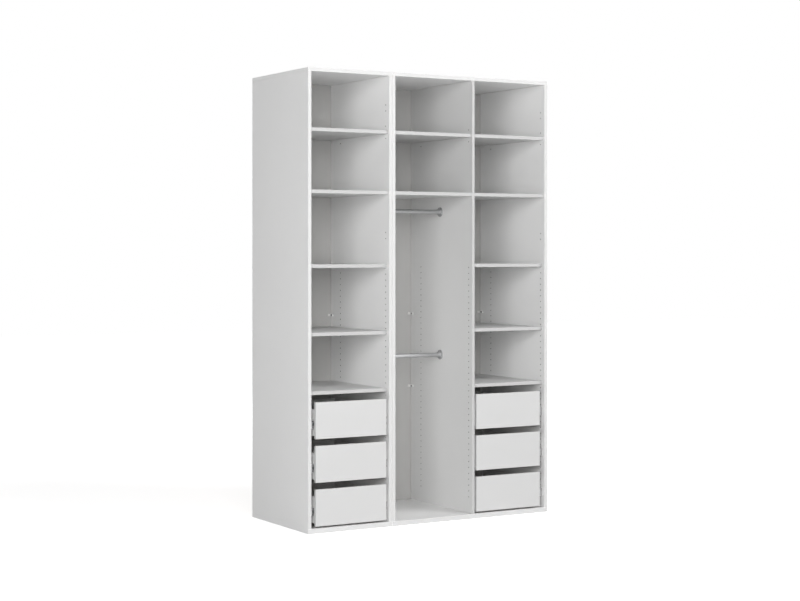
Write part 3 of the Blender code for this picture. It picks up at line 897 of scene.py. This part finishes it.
def ball_cages(name, web, inward, centre, half, start):
    """Two rows of balls between the lips of the channel, kept apart by plastic bars."""
    across = web + inward * FLANGE_REACH / 2
    level = (half - RUNNER_STEEL + RAIL_HEIGHT / 2) / 2
    bm = bmesh.new()
    for height in (centre - level, centre + level):
        for number in range(CAGE_COUNT):
            bar_middle = start + CAGE_FIRST + number * BALL_PITCH
            steel_ball(bm, (across, bar_middle + BALL_PITCH / 2, height))
            cage_bar(bm, across, height, bar_middle)
    add_piece(f"{name}_balls", bm, (BLACK_PLASTIC_AND_SHADE, ZINC), "carcass", smooth=True)


def spacer_block(name, node, wall, inward, width, box):
    """A grey distance piece between the wall and the channel."""
    low, high = box
    centre = (low.z + high.z) / 2
    far = wall + inward * width
    section = [(wall, centre - SPACER_HEIGHT / 2, 0), (far, centre - SPACER_HEIGHT / 2, SPACER_ROUND),
               (far, centre + SPACER_HEIGHT / 2, SPACER_ROUND), (wall, centre + SPACER_HEIGHT / 2, 0)]
    bm = bmesh.new()
    prism(bm, rounded(section, BEND_STEPS), "Y", low.y, high.y)
    add_piece(f"{name}_spacer", bm, (GREY_PLASTIC_AND_SHADE,), "carcass", [node])


def moving_rail(name, drawer, box_face, outward, centre, start, end):
    """The rail on the drawer: a folded strip that opens towards the wall."""
    skin = RUNNER_STEEL / 2
    half = RAIL_HEIGHT / 2
    reach = RUNNER_SPACE - RAIL_TIP
    corners = [(reach, half - skin, 0), (skin, half - skin, RUNNER_BEND), (skin, skin - half, RUNNER_BEND),
               (reach, skin - half, 0)]
    bm = bmesh.new()
    line = rounded(corners, BEND_STEPS, closed=False)
    prism(bm, section_at(line, box_face, outward, centre), "Y", start, end)
    add_piece(name, bm, (ZINC,), drawer, [f"{drawer}_box"])


def whole_drawer(name):
    """One drawer's box in separate boards, its two rails, and the fixed rails that carry it."""
    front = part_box(f"{name}_front")
    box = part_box(f"{name}_box")
    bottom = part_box(f"{name}_bottom")
    left, right = front[0].x, front[1].x
    box_side(f"{name}_box_left", name, left, 1, box, bottom)
    box_side(f"{name}_box_right", name, right, -1, box, bottom)
    box_back(name, left, right, box, bottom)
    for side, face, outward in (("left", left, -1), ("right", right, 1)):
        node = f"{name}_{side}_runner"
        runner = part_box(node)
        wall = runner[0].x if outward < 0 else runner[1].x
        spacer = runner[1].x - runner[0].x - FLANGE_REACH
        web = wall - outward * spacer
        centre = (runner[0].z + runner[1].z) / 2
        fixed_rail(f"{name}_{side}", node, web, -outward, runner)
        if spacer > RUNNER_STEEL:
            spacer_block(f"{name}_{side}", node, wall, -outward, spacer - SPACER_PLAY, runner)
        rail_end = runner[1].y - RAIL_SETBACK
        moving_rail(f"{name}_{side}_rail", name, face, outward, centre, runner[0].y, rail_end)


# Finishes of the solids that stay

def finish_nodes():
    """Gives each solid that still shows its finish."""
    for name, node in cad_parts.items():
        material = SHELF_BOARD
        if name.endswith(("_top", "_base")):
            material = CARCASS_BOARD
        elif name.endswith("_drawer_shelf"):
            material = INNER_BOARD
        elif name.endswith("_front"):
            material = FRONT_BOARD
        elif name.endswith(("_back", "_bottom")):
            material = BACK_BOARD
        if not node.hide_render:
            node.material_slots[0].link = "OBJECT"
            node.material_slots[0].material = material


place_camera()
studio_floor()
white_dome()
soft_lamp("key_lamp", KEY_PLACE, KEY_SIZE, KEY_POWER)
soft_lamp("front_lamp", FRONT_PLACE, FRONT_SIZE, FRONT_POWER)
soft_lamp("side_lamp", SIDE_PLACE, SIDE_SIZE, SIDE_POWER)
soft_lamp("rear_lamp", REAR_PLACE, REAR_SIZE, REAR_POWER)

side_board("narrow_left_side", "narrow_back", inner_is_right=True)
side_board("narrow_right_side", "narrow_back", inner_is_right=False, trim=SEAM_TRIM)
side_board("wide_left_side", "wide_left_back", inner_is_right=True, trim=SEAM_TRIM)
side_board("wide_right_side", "wide_right_back", inner_is_right=False)
partition_board()
hanging_rod("upper_rod")
hanging_rod("lower_rod")
for bay in ("left", "right"):
    shelf_pins(f"{bay}_upper_shelf")
    shelf_pins(f"{bay}_lower_shelf")
    for level in (1, 2, 3):
        whole_drawer(f"{bay}_drawer_{level}")
corner_pieces()
finish_nodes()

bpy.context.scene.view_settings.view_transform = "Standard"
